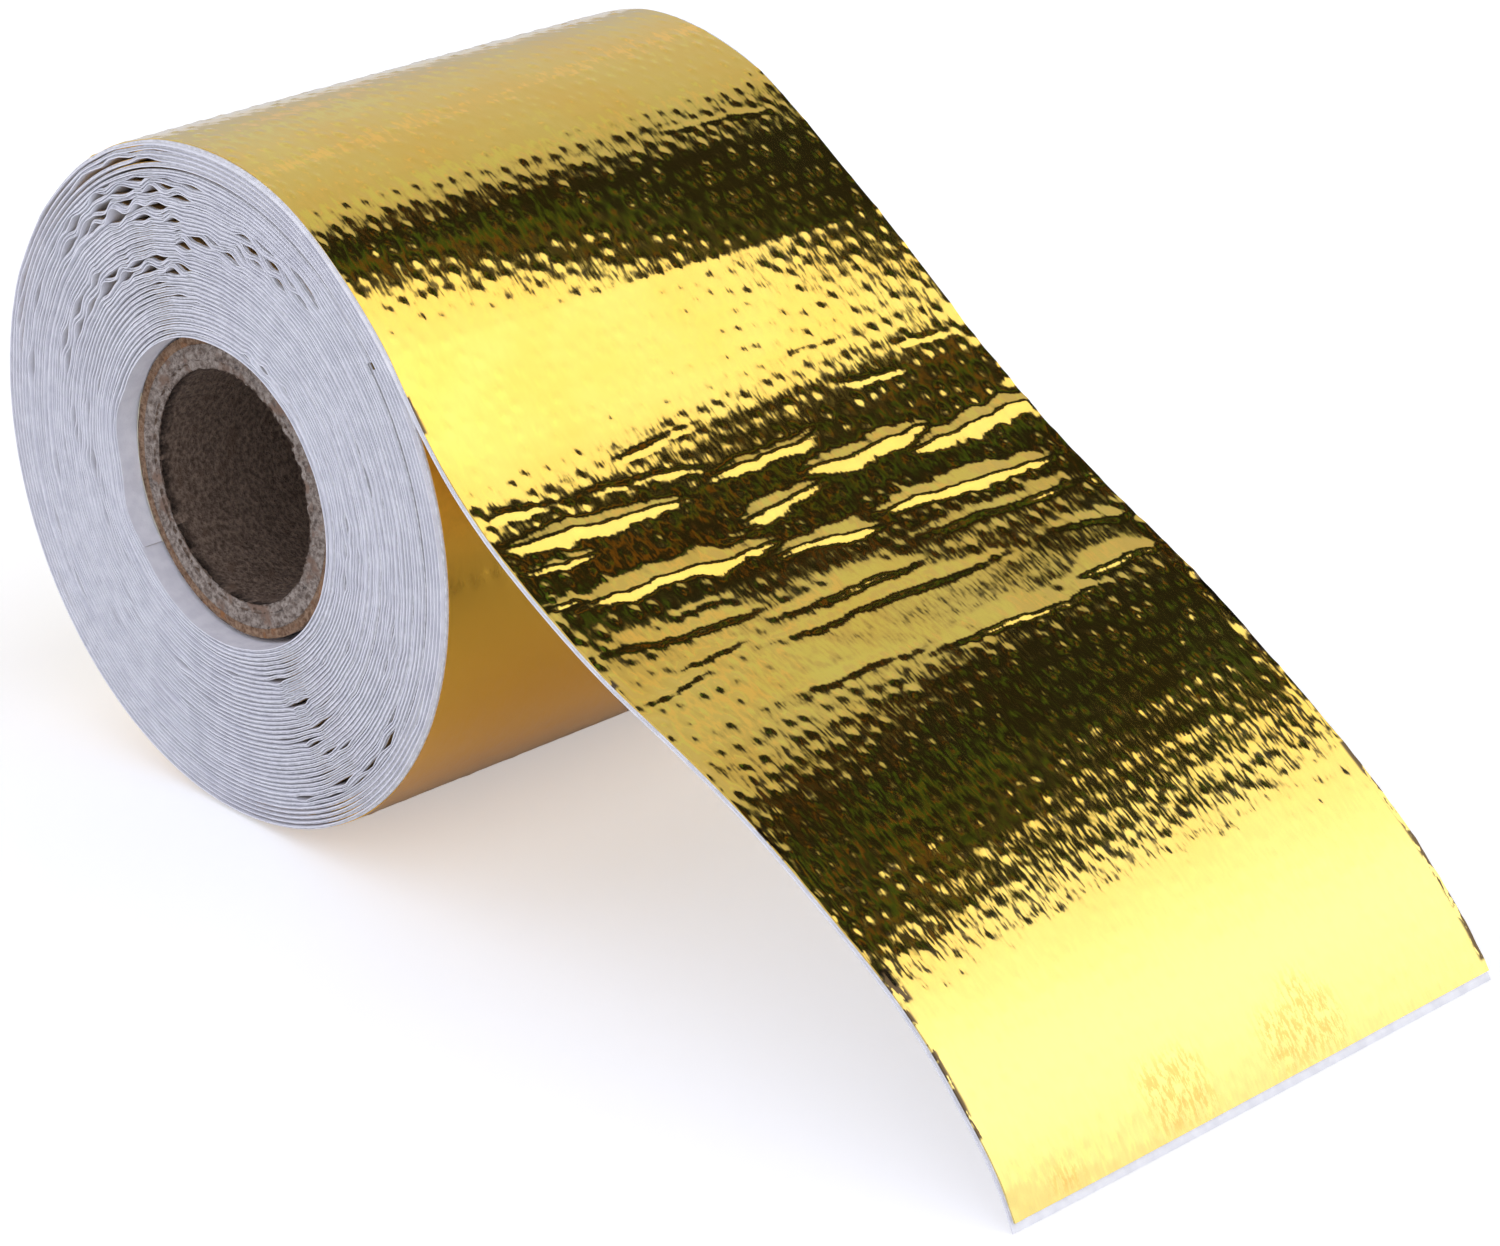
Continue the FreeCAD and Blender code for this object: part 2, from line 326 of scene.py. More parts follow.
def dot_relief(s, y):
    """Raised dots where the threads of the cloth cross, each 0 to 1."""
    row = np.round(s / DOT_PITCH)
    height = np.zeros_like(s)
    for step in (-1, 0, 1):
        this_row = row + step
        shift = 0.5 * np.mod(this_row, 2)
        column = np.round(y / DOT_PITCH - shift)
        jitter_s = 0.55 * value_noise(this_row * 1.37 + 0.5, column * 1.91 + 0.5, 31)
        jitter_y = 0.5 * value_noise(this_row * 1.73 + 0.5, column * 1.29 + 0.5, 32)
        strength = 0.6 + 0.5 * value_noise(this_row * 2.11 + 0.5, column * 1.57 + 0.5, 33)
        ds = (s - this_row * DOT_PITCH - jitter_s) / 0.46
        dy = (y - (column + shift) * DOT_PITCH - jitter_y) / 0.25
        height = np.maximum(height, strength * np.exp(-(ds * ds + dy * dy)))
    return height


def relief(s, y):
    """How far the gold face stands out from the tape's smooth line."""
    height, smooth = buckle_relief(s, y)
    flat_band = smooth_step(s, 32.0, 33.0) * smooth_step(s, 36.0, 35.0) * smooth_step(y, -16, -10)
    dots = (0.085 - 0.02 * smooth_step(s, 40, 48)) * dot_relief(s, y)
    dots = dots * (1 - 0.55 * smooth) * (1 - 0.8 * flat_band)
    loose = smooth_step(s, 8, 16)
    waves = 0.028 * (1 + value_noise(s / 4.3, y / 7.7, 41)) * (0.3 + 0.7 * loose)
    ripple = 0.012 * (1 + value_noise(s / 1.5, y / 2.6, 42)) * (0.2 + 0.8 * loose)
    folds = np.clip(np.sin(y * 2 * math.pi / 1.35), 0, 1) * smooth_step(np.abs(y + 18.5), 4, 1)
    folds = 0.05 * folds * smooth_step(np.abs(s + 156), 3.5, 0.5)
    edge = smooth_step(np.abs(y), FILM_HALF - 0.9, FILM_HALF) * smooth_step(s, 5, 12)
    curl = 0.07 * edge * (1 + value_noise(s / 1.1, np.sign(y) * 3.3, 43))
    return height + dots + waves + ripple + folds + curl


# ---- Meshes -------------------------------------------------------------------------------


class Shell:
    """A closed mesh, put together from grids of points, their quads and the faces between them."""

    def __init__(self):
        self.points = []
        self.coordinates = []
        self.faces = []
        self.count = 0

    def grid(self, s, y, x, z):
        """Adds points, all arrays of one shape, and returns their numbers in that shape."""
        s, y, x, z = np.broadcast_arrays(s, y, x, z)
        self.points.append(np.column_stack([x.ravel(), y.ravel(), z.ravel()]))
        self.coordinates.append(np.column_stack([s.ravel(), y.ravel()]))
        numbers = np.arange(self.count, self.count + x.size).reshape(x.shape)
        self.count += x.size
        return numbers

    def quads(self, grid, flip=False):
        corners = [grid[:-1, :-1], grid[:-1, 1:], grid[1:, 1:], grid[1:, :-1]]
        faces = np.stack([corner.ravel() for corner in corners], axis=1)
        self.faces.extend((faces[:, ::-1] if flip else faces).tolist())

    def bridge(self, fine, coarse, flip=False):
        """Joins two rows, where the fine one has a whole number of steps to each coarse one's."""
        ratio = (len(fine) - 1) // (len(coarse) - 1)
        for i in range(len(coarse) - 1):
            face = [*fine[i * ratio:(i + 1) * ratio + 1], coarse[i + 1], coarse[i]]
            self.faces.append(face[::-1] if flip else face)

    def join(self, row, next_row):
        """Joins two rows of one face, whichever of them is finer."""
        if len(row) >= len(next_row):
            self.bridge(row, next_row)
        else:
            self.bridge(next_row, row, flip=True)

    def mesh(self, name):
        mesh = bpy.data.meshes.new(name)
        points = np.concatenate(self.points) * MM
        mesh.vertices.add(len(points))
        mesh.vertices.foreach_set("co", points.astype(np.float32).ravel())
        corner = np.fromiter((i for face in self.faces for i in face), np.int32)
        starts = np.cumsum([0] + [len(face) for face in self.faces[:-1]])
        mesh.loops.add(len(corner))
        mesh.loops.foreach_set("vertex_index", corner)
        mesh.polygons.add(len(self.faces))
        mesh.polygons.foreach_set("loop_start", starts.astype(np.int32))
        mesh.polygons.foreach_set("use_smooth", np.ones(len(self.faces), bool))
        mesh.update(calc_edges=True)
        layer = mesh.uv_layers.new(name="tape")
        layer.data.foreach_set("uv", np.concatenate(self.coordinates)[corner].astype(np.float32).ravel())
        mesh.validate()
        return mesh


def show(mesh, material):
    piece = bpy.data.objects.new(mesh.name, mesh)
    bpy.context.scene.collection.objects.link(piece)
    mesh.materials.append(material)
    return piece


def columns(half, steps):
    """Places across the tape, closer together towards its edges."""
    share = np.linspace(-1, 1, steps + 1)
    return half * (0.65 * share + 0.35 * np.sin(share * math.pi / 2))


def block_rows(blocks):
    """Arrays of rows along the tape for (start, end, step, steps across, rows per bottom row) blocks."""
    for index, (start, end, step, steps, skip) in enumerate(blocks):
        count = int(math.ceil((end - start) / step / skip)) * skip
        last = index == len(blocks) - 1
        yield np.linspace(start, end, count + 1)[:None if last else -1], steps, skip


def edge_scale(s, layer):
    """The tape's layers are pressed a little wider on the free end, and its film is drawn in on the roll."""
    if layer == "liner":
        return np.ones_like(s)
    pulled_in = 0.009 if layer == "film" else 0.0
    return 1 + 0.007 * smooth_step(s, -2, 8) - pulled_in * smooth_step(s, -8, -24)


def make_strip(name, layer, half, blocks, bottom_steps, face_height, material):
    """One layer along the tape: its upper face has the relief that face_height gives."""
    top, bottom = LAYER_DEPTHS[layer]
    shell = Shell()
    tops = []
    bottom_s = []
    bottom_at = []
    for rows, steps, skip in block_rows(blocks):
        s, y = np.meshgrid(rows, columns(half, steps), indexing="ij")
        y = y * edge_scale(s, layer)
        x, z = tape_point(s, y, top - face_height(s, y))
        grid = shell.grid(s, y, x, z)
        shell.quads(grid)
        if tops:
            shell.join(tops[-1], grid[0])
        bottom_s.extend(rows[::skip])
        bottom_at.extend(len(tops) + np.arange(0, len(rows), skip))
        tops.extend(grid)
    s, y = np.meshgrid(bottom_s, columns(half, bottom_steps), indexing="ij")
    y = y * edge_scale(s, layer)
    under = shell.grid(s, y, *tape_point(s, y, np.full_like(s, bottom)))
    shell.quads(under, flip=True)
    near = [row[0] for row in tops]
    far = [row[-1] for row in tops]
    for i, (start, end) in enumerate(zip(bottom_at, bottom_at[1:])):
        shell.faces.append([*near[start:end + 1], under[i + 1][0], under[i][0]])
        shell.faces.append([*far[start:end + 1], under[i + 1][-1], under[i][-1]][::-1])
    shell.bridge(tops[0], under[0], flip=True)
    shell.bridge(tops[-1], under[-1])
    mesh = shell.mesh(name)
    mesh.set_sharp_from_angle(angle=math.radians(50))
    return show(mesh, material)


# ---- Materials ----------------------------------------------------------------------------


class Nodes:
    """A node tree with short calls for what the materials need."""

    def __init__(self, tree):
        self.tree = tree
        tree.nodes.clear()

    def add(self, kind, inputs=None, **settings):
        node = self.tree.nodes.new(kind)
        for name, value in settings.items():
            setattr(node, name, value)
        for name, value in (inputs or {}).items():
            if isinstance(value, bpy.types.NodeSocket):
                self.tree.links.new(value, node.inputs[name])
            else:
                node.inputs[name].default_value = value
        return node

    def math(self, operation, a, b=0.0):
        node = self.add("ShaderNodeMath", {0: a, 1: b}, operation=operation)
        return node.outputs[0]

    def mix(self, share, a, b, blend="MIX"):
        node = self.add("ShaderNodeMix", {0: share, 6: a, 7: b}, data_type="RGBA", blend_type=blend)
        return node.outputs[2]

    def ramp(self, value, stops, smooth=True):
        """A colour for a value, from (place, colour) stops."""
        node = self.add("ShaderNodeValToRGB", {0: value})
        node.color_ramp.interpolation = "EASE" if smooth else "LINEAR"
        elements = node.color_ramp.elements
        while len(elements) < len(stops):
            elements.new(0.5)
        for element, (place, colour) in zip(elements, stops):
            element.position = place
            element.color = (*colour, 1)
        return node.outputs[0]

    def fade(self, value, low, high):
        """0 to 1 as a value goes from low to high."""
        node = self.add("ShaderNodeMapRange", {0: value, 1: low, 2: high, 3: 0.0, 4: 1.0},
                        interpolation_type="SMOOTHSTEP")
        return node.outputs[0]

    def stretched(self, source, scale):
        node = self.add("ShaderNodeMapping", {"Vector": source, "Scale": scale})
        return node.outputs[0]

    def noise(self, place, scale, detail=2.0, rough=0.5):
        node = self.add("ShaderNodeTexNoise",
                        {"Vector": place, "Scale": scale, "Detail": detail, "Roughness": rough})
        return node.outputs[0]


def new_material(name):
    material = bpy.data.materials.new(name)
    material.use_nodes = True
    return material, Nodes(material.node_tree)


def finish_material(nodes, shader):
    output = nodes.add("ShaderNodeOutputMaterial")
    nodes.tree.links.new(shader.outputs[0], output.inputs["Surface"])


# Places on the gold film, as (s, y) corners: where its edge is nicked and dark, and where it is
# scuffed to orange.
NICKS = [((58, -25), (60.8, -23.7)), ((61, -25), (71, -24.6)), ((45, -25), (48, -24.6)),
         ((28, -25), (30, -24.6)), ((3, -25), (6, -24.6)), ((39, 24.5), (48, 25)), ((57, 24.45), (76, 25))]
SCUFFS = [((71.5, -10.5), (76.5, -4.5)), ((72, 1.5), (76.5, 9.5)), ((75, -21), (76.5, -18)),
          ((70.5, 5), (74, 8))]


def inside(nodes, s, y, corners, soft):
    """1 inside a rectangle of the tape and 0 outside, with soft sides."""
    (s0, y0), (s1, y1) = corners
    along = nodes.math("MULTIPLY", nodes.fade(s, s0 - soft, s0 + soft), nodes.fade(s, s1 + soft, s1 - soft))
    beside = nodes.math("MULTIPLY", nodes.fade(y, y0 - soft, y0 + soft), nodes.fade(y, y1 + soft, y1 - soft))
    return nodes.math("MULTIPLY", along, beside)


def patches(nodes, s, y, places, soft):
    total = 0.0
    for corners in places:
        total = nodes.math("MAXIMUM", total, inside(nodes, s, y, corners, soft))
    return total


def gold_material():
    """Bright metallised film. The threads under it tilt its face a little, in short streaks."""
    material, nodes = new_material("gold_metallised_film")
    place = nodes.add("ShaderNodeUVMap", uv_map="tape").outputs[0]
    s, y = nodes.add("ShaderNodeSeparateXYZ", {0: place}).outputs[:2]
    tangent = nodes.add("ShaderNodeTangent", direction_type="UV_MAP", uv_map="tape").outputs[0]
    normal = nodes.add("ShaderNodeNewGeometry").outputs["Normal"]
    streaks = nodes.fade(nodes.noise(nodes.stretched(place, (0.8, 3.2, 1)), 1.0, 1.0), 0.35, 0.65)
    grain = nodes.noise(nodes.stretched(place, (1.9, 2.4, 1)), 1.0, 1.0)
    streak_height = nodes.math("ADD", 0.03, nodes.math("MULTIPLY", nodes.fade(s, 36.0, 46.0), 0.02))
    tilt = nodes.math("ADD",
                      nodes.math("MULTIPLY", nodes.math("SUBTRACT", streaks, 0.5), streak_height),
                      nodes.math("MULTIPLY", nodes.math("SUBTRACT", grain, 0.5), 0.045))
    moved = nodes.add("ShaderNodeVectorMath", {0: tangent, "Scale": tilt}, operation="SCALE").outputs[0]
    bent = nodes.add("ShaderNodeVectorMath", {0: normal, 1: moved}, operation="ADD").outputs[0]
    bent = nodes.add("ShaderNodeVectorMath", {0: bent}, operation="NORMALIZE").outputs[0]

    mottle = nodes.noise(nodes.stretched(place, (0.15, 0.12, 1)), 1.0, 3.0)
    colour = nodes.ramp(mottle, [(0.3, (1.0, 0.65, 0.11)), (0.7, (0.98, 0.7, 0.14))])
    # Deeper, darker orange on the roll's lower turns, under the free end: painted shade.
    colour = nodes.mix(nodes.fade(s, -70.0, -110.0), colour, (1.0, 0.55, 0.045, 1))
    # Paler towards the free end: painted highlight of the bright reflection there.
    colour = nodes.mix(nodes.fade(s, 52.0, 70.0), colour, (1.0, 0.79, 0.25, 1))
    ragged = nodes.noise(nodes.stretched(place, (0.9, 2.6, 1)), 1.0, 4.0, 0.7)
    scuffed = nodes.math("MULTIPLY", patches(nodes, s, y, SCUFFS, 1.2), nodes.fade(ragged, 0.46, 0.56))
    colour = nodes.mix(scuffed, colour, (1.0, 0.6, 0.15, 1))
    torn = nodes.noise(nodes.stretched(place, (0.4, 1.6, 1)), 1.0, 3.0, 0.6)
    nicked = nodes.math("MULTIPLY", patches(nodes, s, y, NICKS, 0.15), nodes.fade(torn, 0.44, 0.48))
    colour = nodes.mix(nicked, colour, (0.12, 0.075, 0.03, 1))
    rough = nodes.math("ADD", 0.09, nodes.math("MULTIPLY", scuffed, 0.22))
    shader = nodes.add("ShaderNodeBsdfPrincipled",
                       {"Base Color": colour, "Metallic": 1.0, "Roughness": rough, "Normal": bent,
                        "Coat Weight": 0.5, "Coat Roughness": 0.12})
    finish_material(nodes, shader)
    return material


def wound_film_material():
    """The film between the wound turns, seen only in the gaps: darker, because little light gets in."""
    material, nodes = new_material("wound_metallised_film")
    place = nodes.add("ShaderNodeUVMap", uv_map="tape").outputs[0]
    mottle = nodes.noise(nodes.stretched(place, (0.6, 0.8, 1)), 1.0, 3.0)
    colour = nodes.ramp(mottle, [(0.35, (0.34, 0.19, 0.06)), (0.7, (0.62, 0.4, 0.14))])
    shader = nodes.add("ShaderNodeBsdfPrincipled",
                       {"Base Color": colour, "Metallic": 0.9, "Roughness": 0.32})
    finish_material(nodes, shader)
    return material


def paper_material():
    material, nodes = new_material("white_release_paper")
    place = nodes.add("ShaderNodeTexCoord").outputs["Object"]
    mottle = nodes.noise(place, 900.0, 3.0)
    colour = nodes.ramp(mottle, [(0.3, (0.8, 0.8, 0.85)), (0.7, (0.9, 0.9, 0.94))])
    fibres = nodes.noise(place, 6000.0, 2.0)
    bump = nodes.add("ShaderNodeBump", {"Strength": 0.3, "Distance": 0.00005, "Height": fibres}).outputs[0]
    shader = nodes.add("ShaderNodeBsdfPrincipled", {"Base Color": colour, "Roughness": 0.55, "Normal": bump})
    finish_material(nodes, shader)
    return material


def cloth_material():
    material, nodes = new_material("woven_glass_cloth")
    place = nodes.add("ShaderNodeUVMap", uv_map="tape").outputs[0]
    threads = nodes.add("ShaderNodeTexWave", {"Vector": place, "Scale": 1.2, "Distortion": 0.6},
                        bands_direction="Y").outputs[1]
    mottle = nodes.noise(nodes.stretched(place, (2.0, 4.0, 1)), 1.0, 3.0)
    colour = nodes.ramp(mottle, [(0.3, (0.62, 0.62, 0.64)), (0.7, (0.85, 0.85, 0.87))])
    bump = nodes.add("ShaderNodeBump", {"Strength": 0.5, "Distance": 0.00006, "Height": threads}).outputs[0]
    shader = nodes.add("ShaderNodeBsdfPrincipled", {"Base Color": colour, "Roughness": 0.6, "Normal": bump})
    finish_material(nodes, shader)
    return material


def adhesive_material():
    material, nodes = new_material("clear_tacky_adhesive")
    place = nodes.add("ShaderNodeUVMap", uv_map="tape").outputs[0]
    mottle = nodes.noise(nodes.stretched(place, (0.5, 0.8, 1)), 1.0, 4.0)
    colour = nodes.ramp(mottle, [(0.3, (0.74, 0.72, 0.66)), (0.7, (0.84, 0.83, 0.78))])
    dimples = nodes.noise(nodes.stretched(place, (1.2, 1.2, 1)), 1.0, 2.0)
    bump = nodes.add("ShaderNodeBump", {"Strength": 0.5, "Distance": 0.00008, "Height": dimples}).outputs[0]
    shader = nodes.add("ShaderNodeBsdfPrincipled", {"Base Color": colour, "Roughness": 0.22, "Normal": bump})
    finish_material(nodes, shader)
    return material


def board_material(name, dark, light, speck, rim):
    """Recycled chipboard: fibres of several greys and browns, paler where the tube is cut. In the bore the
    darker wall is painted shade deep in the tube.
    """
    material, nodes = new_material(name)
    place = nodes.add("ShaderNodeTexCoord").outputs["Object"]
    normal = nodes.add("ShaderNodeNewGeometry").outputs["True Normal"]
    facing = nodes.add("ShaderNodeSeparateXYZ", {0: normal}).outputs[1]
    fibres = nodes.noise(place, 2600.0, 4.0, 0.65)
    blotches = nodes.noise(place, 700.0, 3.0)
    wall = nodes.ramp(fibres, [(0.3, dark), (0.7, light)])
    wall = nodes.mix(nodes.fade(blotches, 0.55, 0.75), wall, (*speck, 1))
    cut_end = nodes.ramp(fibres, [(0.3, rim[0]), (0.7, rim[1])])
    cut_end = nodes.mix(nodes.fade(blotches, 0.52, 0.7), cut_end, (*rim[2], 1))
    # Walls and cut rims take their own colours by which way they face; in the bore the dark wall is painted
    # shade.
    colour = nodes.mix(nodes.fade(nodes.math("ABSOLUTE", facing), 0.45, 0.7), wall, cut_end)
    height = nodes.math("ADD", fibres, blotches)
    bump = nodes.add("ShaderNodeBump", {"Strength": 0.9, "Distance": 0.0003, "Height": height}).outputs[0]
    shader = nodes.add("ShaderNodeBsdfPrincipled", {"Base Color": colour, "Roughness": 0.92, "Normal": bump})
    finish_material(nodes, shader)
    return material


# ---- The tape's outer turns and free end --------------------------------------------------


def flat_face(s, y):
    return np.zeros_like(s)


def make_outer_tape(gold, cloth, adhesive, paper):
    """The outer five turns and the free end: a strip of each layer, and three more past the peel line."""
    roll_start = -float((ROLL_RADIUS - WRAP_PITCH * WRAP_TURNS / 2) * 2 * math.pi * WRAP_TURNS)
    top_start = -47.0
    turn_end = -171.0
    film_end = FREE_LENGTH - LINER_OVERHANG
    film_blocks = [(roll_start, turn_end, 1.4, 10, 1), (turn_end, top_start, 0.9, 60, 1),
                   (top_start, PEEL_AT, 0.25, 180, 4)]
    inner_blocks = [(roll_start, turn_end, 1.4, 10, 1), (turn_end, PEEL_AT, 0.9, 10, 1)]
    liner_blocks = [(roll_start, turn_end, 1.4, 10, 1), (turn_end, FREE_LENGTH, 0.7, 20, 2)]
    pieces = {
        "film": make_strip("outer_gold_film", "film", FILM_HALF, film_blocks, 10, relief, gold),
        "cloth": make_strip("outer_glass_cloth", "cloth", FILM_HALF, inner_blocks, 10, flat_face, cloth),
        "adhesive": make_strip("outer_adhesive", "adhesive", FILM_HALF, inner_blocks, 10, flat_face,
                               adhesive),
        "liner": make_strip("outer_release_liner", "liner", LINER_HALF, liner_blocks, 10, flat_face,
                            paper),
    }
    for layer, piece in pieces.items():
        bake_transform(piece)
        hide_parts("wrap_" + layer, "tail_" + layer)

    tip_fine = [(PEEL_AT, film_end, 0.25, 180, 4)]
    tip_plain = [(PEEL_AT, film_end, 0.9, 10, 1)]
    tips = {
        "film": make_strip("end_gold_film", "film", FILM_HALF, tip_fine, 10, relief, gold),
        "cloth": make_strip("end_glass_cloth", "cloth", FILM_HALF, tip_plain, 10, flat_face, cloth),
        "adhesive": make_strip("end_adhesive", "adhesive", FILM_HALF, tip_plain, 10, flat_face, adhesive),
    }
    for layer, piece in tips.items():
        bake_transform(piece)
        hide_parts("tip_" + layer)


# ---- The turns that go round with the core ------------------------------------------------

# Direction in which the tape starts on the core.
START_PHI = 218.0

# Places where the wound turns are buckled apart at the near end. Each cluster is a line of gaps from
# one (radius, direction) to another, with their number, their height and how far they are staggered.
CLUSTERS = [
    ((24.6, 134), (23.2, 96), 9, 0.5, 0.8),
    ((23.6, 138), (21.3, 100), 9, 0.56, 0.8),
    ((22.9, 130), (21.9, 112), 4, 0.5, 0.4),
    ((25.0, 112), (23.5, 92), 4, 0.3, 0.5),
    ((19.5, 98), (20.2, 76), 6, 0.56, 0.5),
    ((20.7, 78), (22.2, 55), 8, 0.6, 0.9),
    ((21.8, 76), (22.6, 60), 4, 0.42, 0.5),
    ((19.8, 163), (18.4, 132), 7, 0.44, 0.9),
    ((18.4, 134), (17.3, 98), 8, 0.48, 0.7),
    ((24.9, 143), (24.2, 170), 5, 0.34, 0.8),
    ((18.5, 176), (15.5, 190), 4, 0.3, 0.8),
    ((22.0, 190), (23.5, 215), 3, 0.3, 0.8),
    ((14.8, 8), (14.5, -9), 3, 0.42, 0.1),
    ((16.4, 1), (16.4, -6), 2, 0.36, 0.1),
    ((15.2, -64), (18.5, -52), 4, 0.34, 0.9),
    ((19.8, -60), (21.5, -48), 3, 0.26, 0.6),
    ((23.8, -54), (24.3, -34), 5, 0.36, 0.6),
    ((24.0, -68), (24.4, -58), 3, 0.3, 0.5),
    ((12.9, 70), (13.3, 50), 3, 0.44, 0.1),
    ((17.5, 35), (21.0, 10), 4, 0.24, 1.0),
    ((20.0, -5), (22.5, -30), 4, 0.24, 1.0),
]


def near_gaps():
    """Radius, direction, half width and height of every gap at the near end."""
    gaps = []
    for (radius0, phi0), (radius1, phi1), count, height, stagger in CLUSTERS:
        for i in range(count):
            share = i / max(count - 1, 1)
            side = stagger * (0.5 if i % 2 else -0.5)
            gaps.append((radius0 + (radius1 - radius0) * share + side + RNG.normal(0, 0.1),
                         phi0 + (phi1 - phi0) * share + RNG.normal(0, 0.8),
                         RNG.uniform(3.0, 4.8), height * RNG.uniform(0.75, 1.25)))
    scattered = [(RNG.uniform(14, 24), RNG.uniform(0, 360), RNG.uniform(2.5, 5), RNG.uniform(0.08, 0.2))
                 for _ in range(70)]
    return gaps + scattered


FIRST_TURN = CORE_RADIUS + 0.03


def far_gaps():
    """The same kind of gaps at the far end, in other places."""
    return [(RNG.uniform(14, 23), RNG.choice([130, 310]) + RNG.normal(0, 24), RNG.uniform(3, 6),
             RNG.uniform(0.12, 0.34)) for _ in range(36)]


def coil_radii(phi, climb, gaps, outside, bulge, flare):
    """Inner face of the tape, and its thickness, at every turn and direction of the coil.

    The bulge moves only the first few turns out, and the flare moves all of them a little.
    """
    thick = TAPE * COIL_SQUEEZE
    turn = np.arange(int(COIL_TURNS) + 2)[:, None]
    count = turn + climb[None, :]
    most = laps(math.degrees(LEAVE_ANGLE) - phi, COIL_TURNS - 1)[None, :]
    pitch = (outside - thick - FIRST_TURN) / most
    radius = FIRST_TURN + pitch * count
    spread = np.minimum(np.abs(turn), np.abs(COIL_TURNS - count)) * 0.05
    radius = radius + np.clip(spread, 0, 0.1) * value_noise(count * 0.21 + 0.3, phi[None, :] / 31, 51)
    radius = radius + np.clip(spread, 0, 0.02) * value_noise(turn * 1.37 + 0.5, phi[None, :] / 5.6, 52)
    for gap_radius, centre, half, height in gaps:
        above = turn - round((gap_radius - FIRST_TURN) / pitch.mean())
        push = np.where(above >= 0, 0.62 * np.exp(-np.maximum(above, 0) / 3.2),
                        -0.38 * np.exp(np.minimum(above + 1, 0) / 2.2))
        room = np.clip((COIL_TURNS - count) / 2, 0, 1) * np.clip(turn / 1.5, 0, 1)
        radius = radius + push * room * height * lens(phi, centre, half)[None, :]
    outward = np.clip(1 - count / COIL_TURNS, 0, 1)
    radius = radius + bulge[None, :] * np.exp(-turn / 5) + flare[None, :] * outward**1.5
    radius = np.maximum(radius, FIRST_TURN)
    spacing = np.diff(radius, axis=0)
    return radius[:-1], np.clip(spacing - 0.006, 0.15, thick)


def make_coil(film, cloth, adhesive, paper):
    turns = int(COIL_TURNS)
    phi = np.concatenate([np.arange(50, 171, 0.62), np.arange(171.5, 409.5, 2.0)])
    travelled = np.sort((START_PHI - phi) % 360)
    phi = START_PHI - travelled
    climb = travelled / 360
    near_bulge = 0.42 * lens(phi, 169, 17) + 0.5 * lens(phi, 205, 18) + 0.12 * lens(phi, 245, 40)
    near_flare = 1.3 * lens(phi, 8, 88)
    near_radius, near_thick = coil_radii(phi, climb, near_gaps(), coil_radius(-LINER_HALF), near_bulge,
                                         near_flare)
    far_bulge = 0.25 * lens(phi, 20, 40)
    far_flare = 0.4 * lens(phi, 200, 110)
    far_radius, far_thick = coil_radii(phi, climb, far_gaps(), coil_radius(LINER_HALF), far_bulge, far_flare)
    used = (np.arange(turns + 1)[:, None] + climb[None, :]) <= COIL_TURNS
    direction = np.radians(np.broadcast_to(phi, used.shape)[used])[:, None]
    near_radius, near_thick, far_radius, far_thick = (
        table[used][:, None] for table in (near_radius, near_thick, far_radius, far_thick))
    turned = np.abs(np.diff(np.unwrap(direction[:, 0])))
    along = np.concatenate([[0], np.cumsum(turned * near_radius[1:, 0])])[:, None]
    drift = 0.11 * value_noise(along / 37, along / 211, 61) + 0.05 * value_noise(along / 4, along / 90, 62)
    drift = drift + 0.03 * value_noise(along / 1.7, along / 50, 63)
    # The gold film stops a little short of the cloth, as where a slitting blade has pulled it.
    layers = {
        "film": ("wound_gold_film", film, "gold_film", FILM_HALF - 0.2),
        "cloth": ("wound_glass_cloth", cloth, "glass_cloth", FILM_HALF + 0.12),
        "adhesive": ("wound_adhesive", adhesive, "adhesive", FILM_HALF),
        "liner": ("wound_release_liner", paper, "release_liner", LINER_HALF),
    }
    for layer, (name, material, slot, half) in layers.items():
        y = np.array([[-half, -half + 2.5, half - 2.5, half]])
        share = across(y)
        inner = near_radius * (1 - share) + far_radius * share
        thick = near_thick * (1 - share) + far_thick * share
        place = y + drift * np.array([[1, 1, -1, -1]])
        shell = Shell()
        faces = []
        for depth in LAYER_DEPTHS[layer]:
            radius = inner + thick * (1 - depth / TAPE)
            faces.append(shell.grid(along, place, radius * np.cos(direction), radius * np.sin(direction)))
        top, bottom = faces
        shell.quads(top)
        shell.quads(bottom, flip=True)
        shell.quads(np.stack([bottom[:, 0], top[:, 0]], axis=1))
        shell.quads(np.stack([top[:, -1], bottom[:, -1]], axis=1))
        shell.bridge(top[0], bottom[0], flip=True)
        shell.bridge(top[-1], bottom[-1])
        mesh = shell.mesh(name)
        mesh.set_sharp_from_angle(angle=math.radians(50))
        piece = show(mesh, material)
        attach(piece, "coil")
        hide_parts("coil_" + layer)


# ---- Core ---------------------------------------------------------------------------------


